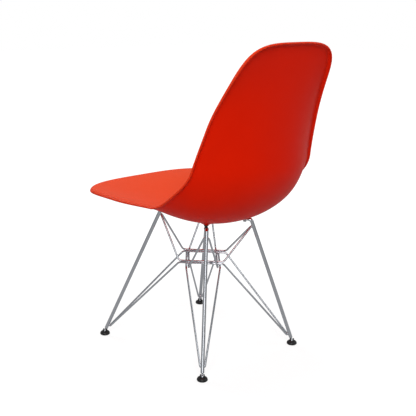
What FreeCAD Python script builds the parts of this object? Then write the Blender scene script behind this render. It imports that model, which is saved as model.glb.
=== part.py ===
import FreeCAD
import Part

import math
import os

# A moulded plastic shell chair on a base of bent steel rods. Millimetres. The floor is z = 0, the
# sitter faces -Y and the sitter's left is +X. The origin is on the floor under the middle of the chair.

Vector = FreeCAD.Vector

# Shell: the line down its middle, seen from the side, from the front edge to the top edge.
SEAT_FRONT_Y = -287.4
SEAT_FRONT_Z = 428.9
SEAT_FALL_DEG = 11.3
NOSE_DROP_DEG = 6.8
NOSE_LENGTH = 105.5
SEAT_LENGTH = 333.0
SEAT_BEND_RADIUS = 155.3
BACK_ANGLE_DEG = 89.3
BACK_LENGTH = 303.1
BACK_FLARE_DEG = 18.4

# Shell: half widths, and how far the rim stands above the middle line, at five places along it.
HALF_WIDTH_FRONT = 219.8
HALF_WIDTH_SEAT = 231.5
HALF_WIDTH_BEND = 224.9
HALF_WIDTH_BACK = 187.4
HALF_WIDTH_TOP = 151.3
RISE_FRONT = 1.2
RISE_SEAT = 33.5
RISE_BEND = 90.5
RISE_BACK = 44.7
RISE_TOP = 0.7
DISH_POWER = 2.2
SEAT_PLACE_SHARE = 0.55
BACK_PLACE_SHIFT = 20.0

# Shell: the rounded ends of its outline, its wall and its rolled lip.
FRONT_ROUND_LENGTH = 133.3
FRONT_ROUND_POWER = 3.3
TOP_ROUND_LENGTH = 108.9
TOP_ROUND_POWER = 3.6
WALL = 4.6
LIP_RADIUS = 7.0
LIP_TURN_DEG = 78.0

# Shell: the four conical bosses underneath, with a threaded insert moulded into each.
BOSS_FACE_RADIUS = 6.5
BOSS_FLANK_DEG = 35.0
BOSS_CLEARANCE = 13.0
INSERT_RADIUS = 4.2
INSERT_LENGTH = 8.0
INSERT_END_WALL = 1.0

# Fixings: a screw up through each leg's tab, with a spring washer below and a damper above the tab.
SCREW_RADIUS = 2.5
SCREW_CLEARANCE = 0.15
SCREW_HEAD_RADIUS = 4.6
SCREW_HEAD_HEIGHT = 3.0
SCREW_ENGAGEMENT = 6.5
WASHER_THICKNESS = 1.2
FRONT_BOSS_HEIGHT = 5.18598
REAR_BOSS_HEIGHT = 5.07058
DAMPER_RADIUS = 3.9
DAMPER_HEIGHT = 8.0

# Legs: thick rods from a ball at the floor to a flattened tab under each boss.
LEG_RADIUS = 4.8
LEG_BEND_RADIUS = 6.0
FRONT_FOOT_X = 183.0
FRONT_FOOT_Y = -219.2
REAR_FOOT_X = 167.8
REAR_FOOT_Y = 170.8
FRONT_KNEE_X = 85.8
FRONT_KNEE_Y = -84.8
REAR_KNEE_X = 80.3
REAR_KNEE_Y = 87.5
TAB_START = 7.6
TAB_ROOT = 2.0
TAB_REACH = 17.0
TAB_WIDTH = 13.0
TAB_THICKNESS = 4.0

# Braces: thin wires that cross at the waist. Each is half of a long loop, welded to the inner side of
# two legs at its tips, where its ends meet those of the loop's other half. Pair A runs front left to
# rear right and is stacked, upper loop on lower loop. Pair B runs rear left to front right under it.
BRACE_RADIUS = 2.6
BRACE_BEND_RADIUS = 12.0
UPPER_TIP_RADIUS = 8.0
LOWER_TIP_RADIUS = 6.5
WAIST_HEIGHT = 245.9
WAIST_CENTRE_Y = -12.1
PAIR_A_SPREAD = 49.8
PAIR_B_UPPER_SPREAD = 38.0
PAIR_B_LOWER_SPREAD = 44.5
PAIR_A_RUN_HALF = 59.3
PAIR_B_RUN_HALF = 78.0
PAIR_B_SHIFT = 5.0
FRONT_UPPER_WELD_DROP = 12.0
REAR_UPPER_WELD_DROP = 17.5
LOWER_WELD_Z = 30.5

# Glides: moulded feet, each with a split collar that snaps over a ball.
BALL_RADIUS = 5.2
BALL_HEIGHT = 10.5
NECK_RADIUS = 2.7
NECK_LENGTH = 9.0
GLIDE_RADIUS = 13.8
GLIDE_EDGE_BOTTOM = 1.8
GLIDE_EDGE_TOP = 4.2
GLIDE_SOLE_RADIUS = 12.0
COLLAR_RADIUS = 7.4
COLLAR_BASE = 9.6
COLLAR_TOP = 15.4
COLLAR_TAPER = 0.6
DOME_BULGE_OUT = 0.8
DOME_BULGE_UP = 0.9
SOCKET_MOUTH_INSET = 0.4
SOCKET_CLEARANCE = 0.3
COLLAR_SLOT_WIDTH = 6.6
COLLAR_SLOT_BOTTOM = 10.4

# How finely the shell's surface is laid out.
SPOKES = 48
RINGS_INSIDE = 11
LIP_STEPS = 4
EDGE_STEPS = 3
CENTRE_FLAT = 0.03
INNER_SHARE = 0.9
LINE_STEP = 2.0
OUTLINE_STEPS = 1440
CURVE_PASSES = 8
SETTLING_PASSES = 40


def radians(degrees):
    return math.radians(degrees)


def blend(places, values, at):
    """A smooth curve through the values that never overshoots them."""
    count = len(places)
    slopes = [(values[i + 1] - values[i]) / (places[i + 1] - places[i]) for i in range(count - 1)]
    tangents = [0.0] * count
    for i in range(1, count - 1):
        if slopes[i - 1] * slopes[i] > 0:
            tangents[i] = 2 * slopes[i - 1] * slopes[i] / (slopes[i - 1] + slopes[i])
    at = min(max(at, places[0]), places[-1])
    i = 0
    while i < count - 2 and at > places[i + 1]:
        i += 1
    span = places[i + 1] - places[i]
    t = (at - places[i]) / span
    rise = values[i + 1] - values[i]
    smooth = values[i] + rise * t * t * (3 - 2 * t)
    return smooth + span * t * (1 - t) * (tangents[i] * (1 - t) - tangents[i + 1] * t)


# The middle line is a straight seat, a round bend and a nearly straight back.
BEND_LENGTH = SEAT_BEND_RADIUS * radians(SEAT_FALL_DEG + BACK_ANGLE_DEG)
LINE_LENGTH = SEAT_LENGTH + BEND_LENGTH + BACK_LENGTH
BEND_MIDDLE = SEAT_LENGTH + BEND_LENGTH / 2
STATIONS = [
    0.0,
    SEAT_PLACE_SHARE * SEAT_LENGTH,
    BEND_MIDDLE,
    (BEND_MIDDLE + LINE_LENGTH) / 2 + BACK_PLACE_SHIFT,
    LINE_LENGTH,
]
HALF_WIDTHS = [HALF_WIDTH_FRONT, HALF_WIDTH_SEAT, HALF_WIDTH_BEND, HALF_WIDTH_BACK, HALF_WIDTH_TOP]
RISES = [RISE_FRONT, RISE_SEAT, RISE_BEND, RISE_BACK, RISE_TOP]


def heading(s):
    """The middle line's slope in degrees, s along it from the front edge."""
    nose = NOSE_DROP_DEG * max(0.0, 1 - s / NOSE_LENGTH)
    if s < SEAT_LENGTH:
        return nose - SEAT_FALL_DEG
    if s < SEAT_LENGTH + BEND_LENGTH:
        return nose - SEAT_FALL_DEG + math.degrees((s - SEAT_LENGTH) / SEAT_BEND_RADIUS)
    return nose + BACK_ANGLE_DEG - BACK_FLARE_DEG * (s - SEAT_LENGTH - BEND_LENGTH) / BACK_LENGTH


def trace_line():
    """Points of the middle line, one every LINE_STEP."""
    points = [(SEAT_FRONT_Y, SEAT_FRONT_Z)]
    steps = int(math.ceil(LINE_LENGTH / LINE_STEP)) + 1
    for i in range(steps):
        angle = radians(heading((i + 0.5) * LINE_STEP))
        y, z = points[-1]
        points.append((y + LINE_STEP * math.cos(angle), z + LINE_STEP * math.sin(angle)))
    return points


LINE_POINTS = trace_line()


def shell_point(s, x):
    """A point of the shell's sitting side: s along the middle line, x to the sitter's left."""
    place = min(max(s, 0.0), LINE_LENGTH) / LINE_STEP
    i = int(place)
    part = place - i
    y = LINE_POINTS[i][0] * (1 - part) + LINE_POINTS[i + 1][0] * part
    z = LINE_POINTS[i][1] * (1 - part) + LINE_POINTS[i + 1][1] * part
    angle = radians(heading(s))
    over = s - min(max(s, 0.0), LINE_LENGTH)
    rise = blend(STATIONS, RISES, s) * (abs(x) / blend(STATIONS, HALF_WIDTHS, s)) ** DISH_POWER
    y += over * math.cos(angle) - rise * math.sin(angle)
    z += over * math.sin(angle) + rise * math.cos(angle)
    return Vector(x, y, z)


def shell_normal(s, x):
    """The shell's normal, towards the sitter."""
    along = shell_point(s + 1, x) - shell_point(s - 1, x)
    across = shell_point(s, x + 1) - shell_point(s, x - 1)
    return across.cross(along).normalize()


def outline_half_width(s):
    front = max(0.0, 1 - s / FRONT_ROUND_LENGTH)
    top = max(0.0, 1 - (LINE_LENGTH - s) / TOP_ROUND_LENGTH)
    narrowing = (1 - front ** FRONT_ROUND_POWER) ** (1 / FRONT_ROUND_POWER)
    narrowing *= (1 - top ** TOP_ROUND_POWER) ** (1 / TOP_ROUND_POWER)
    return blend(STATIONS, HALF_WIDTHS, s) * narrowing


def even_outline(inset, count):
    """Evenly spaced (s, x) points of the outline, drawn in by the inset."""
    edge = []
    for i in range(OUTLINE_STEPS):
        turn = 2 * math.pi * i / OUTLINE_STEPS
        s = LINE_LENGTH * (1 - math.cos(turn)) / 2
        side = 1 if turn <= math.pi else -1
        edge.append((s, side * outline_half_width(min(max(s, 0.0), LINE_LENGTH))))
    drawn = []
    for i in range(OUTLINE_STEPS):
        before = edge[i - 1]
        after = edge[(i + 1) % OUTLINE_STEPS]
        ds = after[0] - before[0]
        dx = after[1] - before[1]
        length = math.hypot(ds, dx)
        drawn.append((edge[i][0] + inset * dx / length, edge[i][1] - inset * ds / length))
    gaps = [math.dist(drawn[i], drawn[(i + 1) % OUTLINE_STEPS]) for i in range(OUTLINE_STEPS)]
    step = sum(gaps) / count
    points = []
    travelled = 0.0
    for i in range(OUTLINE_STEPS):
        while len(points) < count and travelled + gaps[i] > len(points) * step - 1e-9:
            part = (len(points) * step - travelled) / gaps[i]
            a = drawn[i]
            b = drawn[(i + 1) % OUTLINE_STEPS]
            points.append((a[0] + (b[0] - a[0]) * part, a[1] + (b[1] - a[1]) * part))
        travelled += gaps[i]
    return points


def spoke_columns():
    """One column of points per spoke, from the seat's middle over the lip to the middle underneath."""
    outer = LIP_RADIUS + WALL
    turn = radians(LIP_TURN_DEG)
    rim = even_outline(outer * math.sin(min(turn, math.pi / 2)), SPOKES)
    middle_s = 0.5 * (SEAT_LENGTH + BEND_MIDDLE)
    shares = [CENTRE_FLAT]
    for i in range(1, RINGS_INSIDE + 1):
        shares.append(CENTRE_FLAT + (1 - CENTRE_FLAT) * math.sin(math.pi / 2 * i / RINGS_INSIDE))
    flat_centre = shell_point(middle_s, 0)
    flat_normal = shell_normal(middle_s, 0)
    columns = []
    for k in range(SPOKES):
        s_rim, x_rim = rim[k]
        s_next, x_next = rim[(k + 1) % SPOKES]
        s_last, x_last = rim[k - 1]
        top = []
        under = []
        for share in shares:
            s = middle_s + share * (s_rim - middle_s)
            x = share * x_rim
            point = shell_point(s, x)
            normal = shell_normal(s, x)
            if share == CENTRE_FLAT:
                point = point - flat_normal * (point - flat_centre).dot(flat_normal)
                normal = flat_normal
            top.append(point)
            under.append(point - normal * WALL)
        rim_point = shell_point(s_rim, x_rim)
        rim_normal = shell_normal(s_rim, x_rim)
        along = shell_point(s_next, x_next) - shell_point(s_last, x_last)
        outward = rim_normal.cross(along).normalize()
        inner_point = shell_point(middle_s + INNER_SHARE * (s_rim - middle_s), INNER_SHARE * x_rim)
        if outward.dot(rim_point - inner_point) < 0:
            outward = outward * -1
        centre = rim_point - rim_normal * outer
        lip_top = []
        lip_under = []
        for i in range(1, LIP_STEPS + 1):
            angle = turn * i / LIP_STEPS
            ray = outward * math.sin(angle) + rim_normal * math.cos(angle)
            lip_top.append(centre + ray * outer)
            lip_under.append(centre + ray * LIP_RADIUS)
        ray = outward * math.sin(turn) + rim_normal * math.cos(turn)
        onward = outward * math.cos(turn) - rim_normal * math.sin(turn)
        edge_middle = centre + ray * (LIP_RADIUS + WALL / 2)
        edge = []
        for i in range(1, EDGE_STEPS + 1):
            angle = math.pi * i / (EDGE_STEPS + 1)
            edge.append(edge_middle + (ray * math.cos(angle) + onward * math.sin(angle)) * (WALL / 2))
        columns.append(top + lip_top + edge + lip_under[::-1] + under[::-1])
    return columns


def fitted(rows, closed):
    """Control points whose even cubic curve passes through the given points."""
    poles = [Vector(p) for p in rows]
    count = len(rows)
    for _ in range(CURVE_PASSES):
        moved = list(poles)
        for i in range(count):
            if not closed and (i < 2 or i > count - 3):
                continue
            around = poles[i - 1] + poles[(i + 1) % count]
            moved[i] = (rows[i] * 6 - around) * 0.25
        poles = moved
    return poles


def skin(columns):
    """The whole skin of the shell as one smooth face, closed round the rim."""
    rings = [fitted([column[i] for column in columns], True) for i in range(len(columns[0]))]
    poles = [fitted([ring[k] for ring in rings], False) for k in range(SPOKES)]
    rows = [[poles[k][i] for k in range(SPOKES)] for i in range(len(rings))]
    inner_knots = len(rows) - 4
    surface = Part.BSplineSurface()
    surface.buildFromPolesMultsKnots(
        rows,
        [4] + [1] * inner_knots + [4],
        [1] * (SPOKES + 1),
        [float(i) for i in range(inner_knots + 2)],
        [float(i) for i in range(SPOKES + 1)],
        False,
        True,
        3,
        3,
    )
    face = Part.Face(surface)
    caps = []
    for edge in face.Edges:
        if edge.isClosed():
            cap = Part.Face(Part.Wire([edge]))
            cap.reverse()
            caps.append(cap)
    solid = Part.Solid(Part.Shell([face] + caps))
    if solid.Volume < 0:
        solid.reverse()
    return solid


def toward_waist(x, y):
    """The level direction from a leg to the waist's middle."""
    return Vector(-x, WAIST_CENTRE_Y - y, 0).normalize()


def shell_underside(x, y):
    """The height of the shell's underside above the floor at a place under the seat."""
    low = 0.0
    high = BEND_MIDDLE
    for _ in range(SETTLING_PASSES):
        s = (low + high) / 2
        if (shell_point(s, x) - shell_normal(s, x) * WALL).y < y:
            low = s
        else:
            high = s
    return (shell_point(low, x) - shell_normal(low, x) * WALL).z


def knee_under_boss(x, y, boss_height):
    """A leg's knee, low enough for its tab, its damper and a boss of that height under the shell."""
    screw = Vector(x, y, 0) + toward_waist(x, y) * TAB_REACH
    face = shell_underside(screw.x, screw.y) - boss_height
    return Vector(x, y, face - DAMPER_HEIGHT - TAB_THICKNESS / 2)


# The four corners of the base: a name, the ball's centre, the knee and the weld heights.
CORNERS = {}
for depth in ("front", "rear"):
    for side, sign in (("left", 1), ("right", -1)):
        if depth == "front":
            ball = Vector(sign * FRONT_FOOT_X, FRONT_FOOT_Y, BALL_HEIGHT)
            knee = knee_under_boss(sign * FRONT_KNEE_X, FRONT_KNEE_Y, FRONT_BOSS_HEIGHT)
            weld = knee.z - FRONT_UPPER_WELD_DROP
        else:
            ball = Vector(sign * REAR_FOOT_X, REAR_FOOT_Y, BALL_HEIGHT)
            knee = knee_under_boss(sign * REAR_KNEE_X, REAR_KNEE_Y, REAR_BOSS_HEIGHT)
            weld = knee.z - REAR_UPPER_WELD_DROP
        screw = knee + toward_waist(knee.x, knee.y) * TAB_REACH
        CORNERS[depth + "_" + side] = {"ball": ball, "knee": knee, "weld": weld, "screw": screw}


def rounded(points, bends):
    """Edges along straight runs, with an arc at each inner point."""
    edges = []
    start = points[0]
    for i in range(1, len(points) - 1):
        back = (points[i - 1] - points[i]).normalize()
        on = (points[i + 1] - points[i]).normalize()
        half = back.getAngle(on) / 2
        reach = bends[i - 1] / math.tan(half)
        middle = (back + on).normalize()
        arc_middle = points[i] + middle * (bends[i - 1] / math.sin(half) - bends[i - 1])
        arc_start = points[i] + back * reach
        arc_end = points[i] + on * reach
        edges.append(Part.LineSegment(start, arc_start).toShape())
        edges.append(Part.Arc(arc_start, arc_middle, arc_end).toShape())
        start = arc_end
    edges.append(Part.LineSegment(start, points[-1]).toShape())
    return edges


def rod_along(edges, start, direction, radius):
    """A round rod along edges that run smoothly into each other."""
    section = Part.Wire([Part.Circle(start, direction, radius).toShape()])
    return Part.Wire(edges).makePipeShell([section], True, False)


def leg(corner):
    """A leg: a ball, a neck, the long rod, the bend at the knee and the flattened, drilled tab."""
    ball = corner["ball"]
    knee = corner["knee"]
    screw = corner["screw"]
    up = (knee - ball).normalize()
    inward = (screw - knee).normalize()
    shoulder = ball + up * NECK_LENGTH
    tab_start = knee + inward * TAB_START
    path = rounded([shoulder, knee, tab_start], [LEG_BEND_RADIUS])
    rod = rod_along(path, shoulder, up, LEG_RADIUS)
    neck = Part.makeCylinder(NECK_RADIUS, NECK_LENGTH + 1, ball, up)
    sphere = Part.makeSphere(BALL_RADIUS, ball)
    down = Vector(0, 0, -TAB_THICKNESS / 2)
    sideways = Vector(-inward.y, inward.x, 0) * (TAB_WIDTH / 2)
    end = screw + inward * (TAB_WIDTH / 2)
    root = knee + inward * TAB_ROOT
    outline = Part.Wire([
        Part.LineSegment(root + sideways + down, screw + sideways + down).toShape(),
        Part.Arc(screw + sideways + down, end + down, screw - sideways + down).toShape(),
        Part.LineSegment(screw - sideways + down, root - sideways + down).toShape(),
        Part.LineSegment(root - sideways + down, root + sideways + down).toShape(),
    ])
    tab = Part.Face(outline).extrude(Vector(0, 0, TAB_THICKNESS))
    hole = Part.makeCylinder(
        SCREW_RADIUS + SCREW_CLEARANCE, TAB_THICKNESS * 3, screw - Vector(0, 0, TAB_THICKNESS * 1.5)
    )
    return rod.fuse([neck, sphere, tab]).cut(hole).Solids[0]


def point_on_leg(corner, height):
    share = (height - corner["ball"].z) / (corner["knee"].z - corner["ball"].z)
    return corner["ball"] + (corner["knee"] - corner["ball"]) * share


def loop_end(corner, height, left, right, radius):
    """Where a loop comes to its tip on a leg: the tip's middle, and a quarter arc to each side."""
    line = (corner["knee"] - corner["ball"]).normalize()
    inward = toward_waist(corner["ball"].x, corner["ball"].y)
    inward = (inward - line * inward.dot(line)).normalize()
    wanted = point_on_leg(corner, height) + inward * (LEG_RADIUS + BRACE_RADIUS)
    apex = wanted
    for _ in range(SETTLING_PASSES):
        to_left = (left - apex).normalize()
        to_right = (right - apex).normalize()
        half = to_left.getAngle(to_right) / 2
        middle = (to_left + to_right).normalize()
        tip = apex + middle * (radius / math.sin(half) - radius)
        apex = apex + wanted - tip
    centre = tip + middle * radius
    arcs = []
    for way in (to_left, to_right):
        tangent = apex + way * (radius / math.tan(half))
        quarter = centre + (tip + tangent - centre * 2).normalize() * radius
        arcs.append((quarter, tangent))
    return tip, arcs


def brace_loop(start_name, end_name, heights, spread, level, run_half, shift, radius):
    """Both halves of a loop: each starts at one leg, passes the waist and ends at the other leg."""
    start = CORNERS[start_name]
    end = CORNERS[end_name]
    course = end["ball"] - start["ball"]
    course = Vector(course.x, course.y, 0).normalize()
    sideways = Vector(-course.y, course.x, 0)
    middle = Vector(0, WAIST_CENTRE_Y, level) + course * shift
    near = [middle - course * run_half + sideways * (spread * side) for side in (-1, 1)]
    far = [middle + course * run_half + sideways * (spread * side) for side in (-1, 1)]
    start_tip, start_arcs = loop_end(start, heights[0], near[0], near[1], radius)
    end_tip, end_arcs = loop_end(end, heights[1], far[0], far[1], radius)
    halves = []
    for i in range(2):
        first_quarter, first = start_arcs[i]
        last_quarter, last = end_arcs[i]
        opening = Part.Arc(start_tip, first_quarter, first)
        edges = [opening.toShape()]
        edges += rounded([first, near[i], far[i], last], [BRACE_BEND_RADIUS, BRACE_BEND_RADIUS])
        edges.append(Part.Arc(last, last_quarter, end_tip).toShape())
        direction = opening.tangent(opening.FirstParameter)[0]
        halves.append(rod_along(edges, start_tip, direction, BRACE_RADIUS))
    return halves


def boss_face_height(corner):
    """The underside of a boss, where the damper bears."""
    return corner["screw"].z + TAB_THICKNESS / 2 + DAMPER_HEIGHT


def seat_shell():
    shell = skin(spoke_columns())
    for corner in CORNERS.values():
        x = corner["screw"].x
        y = corner["screw"].y
        face_z = boss_face_height(corner)
        height = shell_underside(x, y) - face_z + BOSS_CLEARANCE
        flare = height / math.tan(radians(BOSS_FLANK_DEG))
        cone = Part.makeCone(BOSS_FACE_RADIUS, BOSS_FACE_RADIUS + flare, height, Vector(x, y, face_z))
        pieces = sorted(cone.cut(shell).Solids, key=lambda piece: piece.CenterOfMass.z)
        shell = shell.fuse(pieces[0])
    for corner in CORNERS.values():
        foot = Vector(corner["screw"].x, corner["screw"].y, boss_face_height(corner))
        shell = shell.cut(Part.makeCylinder(INSERT_RADIUS, INSERT_LENGTH, foot))
    return shell.Solids[0]


def insert(corner):
    foot = Vector(corner["screw"].x, corner["screw"].y, boss_face_height(corner))
    body = Part.makeCylinder(INSERT_RADIUS, INSERT_LENGTH, foot)
    return body.cut(Part.makeCylinder(SCREW_RADIUS + SCREW_CLEARANCE, INSERT_LENGTH - INSERT_END_WALL, foot))


def damper(corner):
    foot = corner["screw"] + Vector(0, 0, TAB_THICKNESS / 2)
    body = Part.makeCylinder(DAMPER_RADIUS, DAMPER_HEIGHT, foot)
    return body.cut(Part.makeCylinder(SCREW_RADIUS + SCREW_CLEARANCE, DAMPER_HEIGHT, foot))


def spring_washer(corner):
    foot = corner["screw"] - Vector(0, 0, TAB_THICKNESS / 2 + WASHER_THICKNESS)
    body = Part.makeCylinder(SCREW_HEAD_RADIUS, WASHER_THICKNESS, foot)
    return body.cut(Part.makeCylinder(SCREW_RADIUS + SCREW_CLEARANCE, WASHER_THICKNESS, foot))


def screw(corner):
    seat = corner["screw"] - Vector(0, 0, TAB_THICKNESS / 2 + WASHER_THICKNESS)
    length = WASHER_THICKNESS + TAB_THICKNESS + DAMPER_HEIGHT + SCREW_ENGAGEMENT
    shank = Part.makeCylinder(SCREW_RADIUS, length, seat)
    head = Part.makeCylinder(SCREW_HEAD_RADIUS, SCREW_HEAD_HEIGHT, seat - Vector(0, 0, SCREW_HEAD_HEIGHT))
    return shank.fuse(head).Solids[0]


def glide(corner):
    """A glide, turned about the ball's upright line, with its collar slotted four ways."""
    centre = corner["ball"]
    axis = Vector(centre.x, centre.y, 0)

    def at(radius, height):
        return Vector(centre.x + radius, centre.y, height)

    dome_radius = (GLIDE_RADIUS + COLLAR_RADIUS) / 2 + DOME_BULGE_OUT
    dome_height = (GLIDE_EDGE_TOP + COLLAR_BASE) / 2 + DOME_BULGE_UP
    dome = Part.Arc(
        at(GLIDE_RADIUS, GLIDE_EDGE_TOP),
        at(dome_radius, dome_height),
        at(COLLAR_RADIUS, COLLAR_BASE),
    )
    edges = [
        Part.LineSegment(at(0, 0), at(GLIDE_SOLE_RADIUS, 0)),
        Part.LineSegment(at(GLIDE_SOLE_RADIUS, 0), at(GLIDE_RADIUS, GLIDE_EDGE_BOTTOM)),
        Part.LineSegment(at(GLIDE_RADIUS, GLIDE_EDGE_BOTTOM), at(GLIDE_RADIUS, GLIDE_EDGE_TOP)),
        dome,
        Part.LineSegment(at(COLLAR_RADIUS, COLLAR_BASE), at(COLLAR_RADIUS - COLLAR_TAPER, COLLAR_TOP)),
        Part.LineSegment(at(COLLAR_RADIUS - COLLAR_TAPER, COLLAR_TOP), at(0, COLLAR_TOP)),
        Part.LineSegment(at(0, COLLAR_TOP), at(0, 0)),
    ]
    profile = Part.Face(Part.Wire([edge.toShape() for edge in edges]))
    body = profile.revolve(axis, Vector(0, 0, 1), 360)
    mouth_radius = BALL_RADIUS - SOCKET_MOUTH_INSET
    socket = Part.makeSphere(BALL_RADIUS + SOCKET_CLEARANCE, centre)
    mouth = Part.makeCylinder(mouth_radius, COLLAR_TOP, centre)
    body = body.cut(socket.fuse(mouth))
    inward = toward_waist(centre.x, centre.y)
    turn = math.degrees(math.atan2(inward.y, inward.x))
    for quarter in range(2):
        slot = Part.makeBox(4 * COLLAR_RADIUS, COLLAR_SLOT_WIDTH, COLLAR_TOP)
        slot.translate(Vector(-2 * COLLAR_RADIUS, -COLLAR_SLOT_WIDTH / 2, 0))
        slot.rotate(Vector(0, 0, 0), Vector(0, 0, 1), turn + 90 * quarter)
        slot.translate(Vector(centre.x, centre.y, COLLAR_SLOT_BOTTOM))
        body = body.cut(slot)
    return body.Solids[0]


def build():
    nodes = {"seat_shell": seat_shell()}
    for name, corner in CORNERS.items():
        nodes["leg_" + name] = leg(corner)
        nodes["glide_" + name] = glide(corner)
        nodes["insert_" + name] = insert(corner)
        nodes["damper_" + name] = damper(corner)
        nodes["spring_washer_" + name] = spring_washer(corner)
        nodes["mount_screw_" + name] = screw(corner)
    stack = 2 * BRACE_RADIUS
    level_b = WAIST_HEIGHT - 2 * stack
    ends_a = ("front_left", "rear_right")
    ends_b = ("rear_left", "front_right")
    loops = (
        ("upper", "a", ends_a, PAIR_A_SPREAD, WAIST_HEIGHT),
        ("lower", "a", ends_a, PAIR_A_SPREAD, WAIST_HEIGHT - stack),
        ("upper", "b", ends_b, PAIR_B_UPPER_SPREAD, level_b),
        ("lower", "b", ends_b, PAIR_B_LOWER_SPREAD, level_b),
    )
    for tier, pair, (start, end), spread, level in loops:
        if tier == "upper":
            heights = (CORNERS[start]["weld"], CORNERS[end]["weld"])
            radius = UPPER_TIP_RADIUS
        else:
            heights = (LOWER_WELD_Z, LOWER_WELD_Z)
            radius = LOWER_TIP_RADIUS
        if pair == "a":
            run = (PAIR_A_RUN_HALF, 0.0)
            sides = ("rear", "front")
        else:
            run = (PAIR_B_RUN_HALF, PAIR_B_SHIFT)
            sides = ("right", "left")
        halves = brace_loop(start, end, heights, spread, level, run[0], run[1], radius)
        for side, half in zip(sides, halves):
            nodes[tier + "_brace_" + pair + "_" + side] = half
    return nodes


os.makedirs("parts", exist_ok=True)
for node, shape in build().items():
    shape.exportStep("parts/" + node + ".step")
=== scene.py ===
import math

import bmesh
import bpy
import numpy as np
from mathutils import Matrix, Vector


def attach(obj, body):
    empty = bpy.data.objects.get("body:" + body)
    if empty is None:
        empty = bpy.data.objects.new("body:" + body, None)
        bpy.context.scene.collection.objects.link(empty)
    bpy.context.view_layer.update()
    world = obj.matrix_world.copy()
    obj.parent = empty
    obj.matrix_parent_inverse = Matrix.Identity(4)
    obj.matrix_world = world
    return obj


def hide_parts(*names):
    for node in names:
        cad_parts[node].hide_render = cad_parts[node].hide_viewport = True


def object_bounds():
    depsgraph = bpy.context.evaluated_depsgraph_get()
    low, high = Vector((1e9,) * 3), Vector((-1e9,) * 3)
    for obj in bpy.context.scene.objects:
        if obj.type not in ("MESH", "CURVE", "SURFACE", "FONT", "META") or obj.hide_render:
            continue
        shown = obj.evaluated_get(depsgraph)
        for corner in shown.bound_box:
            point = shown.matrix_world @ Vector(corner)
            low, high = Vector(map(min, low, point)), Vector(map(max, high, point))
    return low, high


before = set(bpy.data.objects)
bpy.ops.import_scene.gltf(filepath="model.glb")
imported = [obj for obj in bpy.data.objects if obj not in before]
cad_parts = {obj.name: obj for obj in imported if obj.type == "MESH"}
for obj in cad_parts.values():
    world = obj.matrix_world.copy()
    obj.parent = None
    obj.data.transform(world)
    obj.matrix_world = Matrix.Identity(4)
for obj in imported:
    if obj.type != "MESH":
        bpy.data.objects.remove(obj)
cad_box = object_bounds()

# The view and the studio.
# The chair stands on a white floor that runs out of sight, seen from behind its left shoulder with
# a long lens. Wide soft lamps and a pale room light it evenly, and faint shadows stay by its feet.
scene = bpy.context.scene
scene.view_settings.view_transform = "Standard"

view_azimuth = math.radians(139.3)
view_elevation = math.radians(16.1)
view_distance = 2.1306
view_target = Vector((0.00246, -0.1296, 0.2849))
view_direction = Vector((
    math.sin(view_azimuth) * math.cos(view_elevation),
    -math.cos(view_azimuth) * math.cos(view_elevation),
    math.sin(view_elevation),
))


def placed(name, data):
    """A new object in the scene, unturned at the origin."""
    piece = bpy.data.objects.new(name, data)
    scene.collection.objects.link(piece)
    return piece


camera_data = bpy.data.cameras.new("camera")
camera_data.sensor_width = 36.0
camera_data.lens = 65.8
camera_data.shift_x = 0.0822
camera_data.shift_y = 0.0594
camera_data.clip_end = 60.0
camera = placed("camera", camera_data)
camera.location = view_target + view_direction * view_distance
camera.rotation_euler = (-view_direction).to_track_quat("-Z", "Y").to_euler()
scene.camera = camera


def put(tree, kind, inputs=None, **settings):
    """Adds a node to a tree. Each input is a plain value or the socket that feeds it."""
    node = tree.nodes.new(kind)
    for name, value in settings.items():
        setattr(node, name, value)
    for name, value in (inputs or {}).items():
        if isinstance(value, bpy.types.NodeSocket):
            tree.links.new(value, node.inputs[name])
        else:
            node.inputs[name].default_value = value
    return node


def reckon(tree, operation, first, second=0.0):
    """The answer of a Math node."""
    return put(tree, "ShaderNodeMath", {0: first, 1: second}, operation=operation).outputs[0]


def bounced(tree, rays):
    """1 for a ray that comes off a gloss or through glass, and 0 for any other."""
    return reckon(tree, "MAXIMUM", rays["Is Glossy Ray"], rays["Is Transmission Ray"])


white = (1.0, 1.0, 1.0, 1.0)
room_tint = (0.93, 0.96, 1.0, 1.0)
room_strength = 0.1
room_in_gloss = 0.22

room = bpy.data.worlds.new("pale_room")
scene.world = room
room.use_nodes = True
tree = room.node_tree
tree.nodes.clear()
rays = put(tree, "ShaderNodeLightPath").outputs
room_light = put(tree, "ShaderNodeBackground", {"Color": room_tint, "Strength": room_strength})
room_seen = put(tree, "ShaderNodeBackground", {"Color": white, "Strength": 1.0})
in_gloss = reckon(tree, "MULTIPLY", bounced(tree, rays), room_in_gloss)
seen_share = reckon(tree, "MAXIMUM", rays["Is Camera Ray"], in_gloss)
mix = put(tree, "ShaderNodeMixShader", {0: seen_share, 1: room_light.outputs[0], 2: room_seen.outputs[0]})
put(tree, "ShaderNodeOutputWorld", {"Surface": mix.outputs[0]})

lamp_aim = Vector((0.0, 0.0, 0.45))


def soft_lamp(name, place, width, height, watts):
    """A white rectangular lamp that faces the chair."""
    data = bpy.data.lights.new(name, "AREA")
    data.shape = "RECTANGLE"
    data.size = width
    data.size_y = height
    data.energy = watts
    lamp = placed(name, data)
    lamp.location = place
    lamp.rotation_euler = (lamp_aim - Vector(place)).to_track_quat("-Z", "Y").to_euler()
    return lamp


# Wide lamps light the plastic and the floor, and show in no gloss. A row is a lamp's name, place,
# width, height and watts.
for lamp_row in (
    ("lamp_behind", (0.0, -2.13, 1.94), 1.5, 1.5, 50.0),
    ("lamp_by_camera", (1.51, 1.51, 1.94), 1.5, 1.5, 51.0),
    ("lamp_right", (-1.51, 1.51, 1.94), 1.5, 1.5, 20.0),
    ("lamp_low", (-2.45, -0.8, 0.7), 1.5, 1.5, 36.0),
):
    soft_lamp(*lamp_row).visible_glossy = False
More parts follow.
